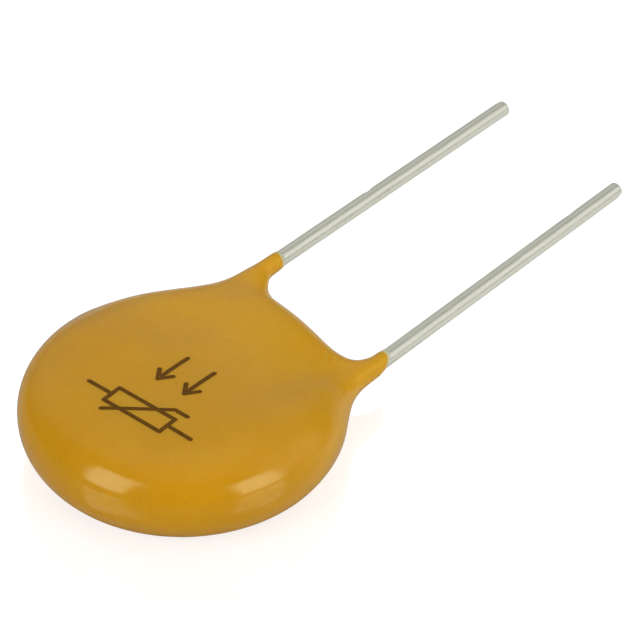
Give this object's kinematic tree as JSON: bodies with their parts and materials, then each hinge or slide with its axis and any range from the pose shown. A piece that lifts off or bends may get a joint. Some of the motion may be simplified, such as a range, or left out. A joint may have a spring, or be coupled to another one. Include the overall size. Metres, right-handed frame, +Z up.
{
  "type": "resettable fuse",
  "caption": "Disc-shaped resettable polymer fuse dipped in yellow epoxy, with straight parallel tinned wire leads for through-hole mounting.",
  "frame": {"origin": "on the chip's axis, at the flat underside of the coat", "axes": "+Y along the leads, from the body to their tips; +Z up from the underside to the top face; +X from the left lead to the right lead"},
  "size_m": [0.0102, 0.0236, 0.0032],
  "materials": {
    "epoxy": "glossy dip-coated epoxy, ochre yellow",
    "conductive_polymer": "matt black carbon-filled polymer",
    "nickel_foil": "satin nickel foil",
    "tinned_wire": "satin tinned copper wire",
    "solder": "dull solder"
  },
  "bodies": {
    "root": {"epoxy_coat": "epoxy", "polymer_chip": "conductive_polymer", "top_foil": "nickel_foil", "bottom_foil": "nickel_foil", "left_lead": "tinned_wire", "right_lead": "tinned_wire", "left_solder": "solder", "right_solder": "solder"}
  },
  "joints": []
}
